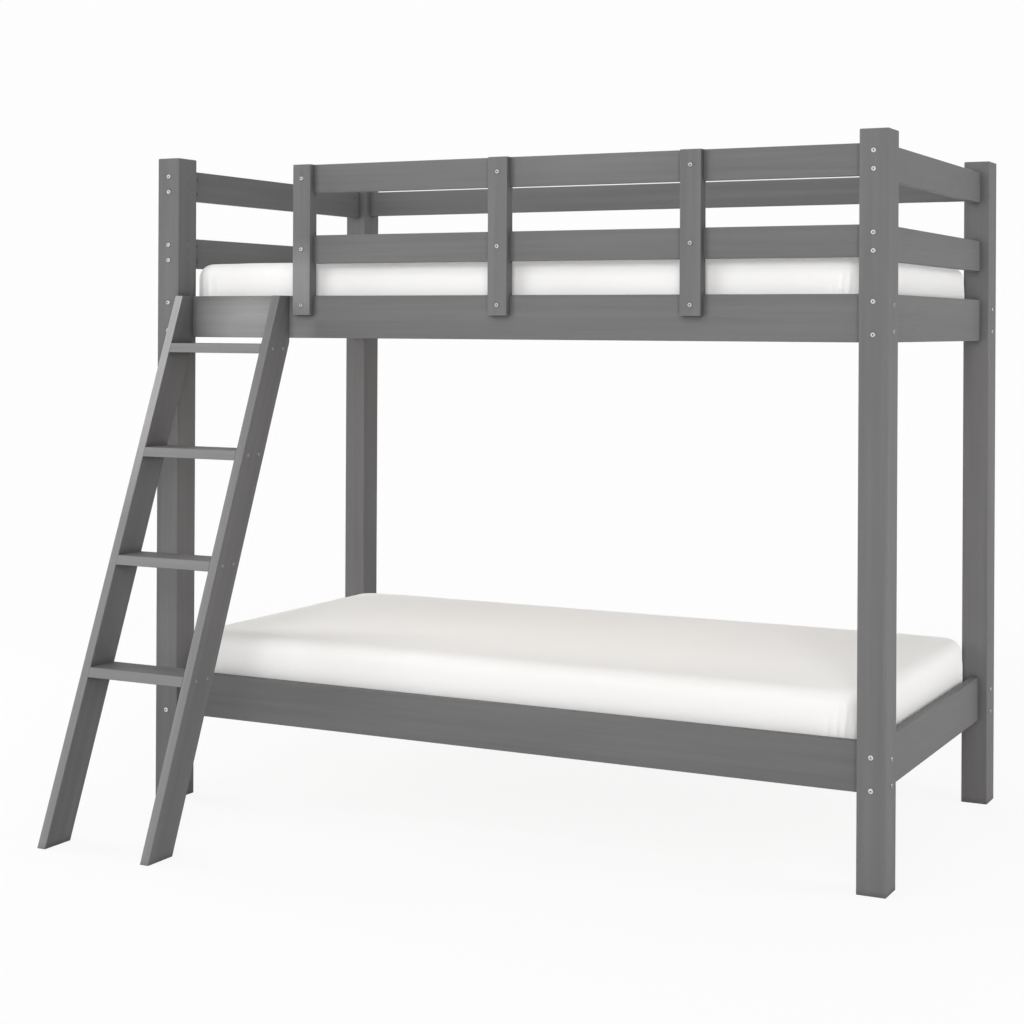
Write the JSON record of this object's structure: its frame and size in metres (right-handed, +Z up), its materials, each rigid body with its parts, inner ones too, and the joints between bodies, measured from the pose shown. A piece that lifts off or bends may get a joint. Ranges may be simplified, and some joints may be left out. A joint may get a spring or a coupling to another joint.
{
  "type": "bunk bed",
  "caption": "Twin-over-twin wooden bunk bed with guard rails round the upper bunk and a sloping ladder fixed to its front.",
  "frame": {"origin": "on the floor, under the middle of the whole object's box, ladder included", "axes": "+Z up; X along the bed, the ladder at the -X end; the ladder leans out towards -Y, the open room side"},
  "size_m": [2.0544, 1.6312, 1.75],
  "materials": {
    "painted_pine": "satin grey paint over pine, the grain faintly raised",
    "bare_pine": "planed, unfinished",
    "steel": "zinc plated",
    "mattress_ticking": "quilted knit ticking",
    "sheet_cotton": "smooth white cotton, stretched over the mattress",
    "webbing": "woven tape"
  },
  "bodies": {
    "frame": {"barrel_nuts": "steel", "dowel_hole_plugs": "painted_pine", "end_guard_mid_left": "painted_pine", "end_guard_mid_right": "painted_pine", "end_guard_top_left": "painted_pine", "end_guard_top_right": "painted_pine", "end_rail_bolts": "steel", "guard_bolts": "steel", "guard_cap_nuts": "steel", "guard_dowels": "bare_pine", "guard_mid_rail_front": "painted_pine", "guard_mid_rail_rear": "painted_pine", "guard_top_rail_front": "painted_pine", "guard_top_rail_rear": "painted_pine", "guard_upright_1": "painted_pine", "guard_upright_2": "painted_pine", "guard_upright_3": "painted_pine", "ladder_bolts": "steel", "ladder_inserts": "steel", "ladder_step_1": "painted_pine", "ladder_step_2": "painted_pine", "ladder_step_3": "painted_pine", "ladder_step_4": "painted_pine", "ladder_stringer_left": "painted_pine", "ladder_stringer_right": "painted_pine", "lower_cleat_front": "bare_pine", "lower_cleat_rear": "bare_pine", "lower_cleat_screws": "steel", "lower_end_rail_left": "painted_pine", "lower_end_rail_right": "painted_pine", "lower_side_rail_front": "painted_pine", "lower_side_rail_rear": "painted_pine", "lower_slat_screws": "steel", "lower_slat_straps": "webbing", "lower_slats": "bare_pine", "post_front_left": "painted_pine", "post_front_right": "painted_pine", "post_rear_left": "painted_pine", "post_rear_right": "painted_pine", "side_rail_bolts": "steel", "step_screws": "steel", "upper_cleat_front": "bare_pine", "upper_cleat_rear": "bare_pine", "upper_cleat_screws": "steel", "upper_end_rail_left": "painted_pine", "upper_end_rail_right": "painted_pine", "upper_side_rail_front": "painted_pine", "upper_side_rail_rear": "painted_pine", "upper_slat_screws": "steel", "upper_slat_straps": "webbing", "upper_slats": "bare_pine"},
    "upper_bedding": {"upper_mattress": "mattress_ticking", "upper_fitted_sheet": "sheet_cotton"},
    "lower_bedding": {"lower_mattress": "mattress_ticking", "lower_fitted_sheet": "sheet_cotton"}
  },
  "joints": [
    {"name": "upper_mattress_lift", "type": "slide", "parent": "frame", "child": "upper_bedding", "axis": [0, 0, 1], "range_m": [0, 0.46]},
    {"name": "lower_mattress_lift", "type": "slide", "parent": "frame", "child": "lower_bedding", "axis": [0, 0, 1], "range_m": [0, 0.7]}
  ]
}
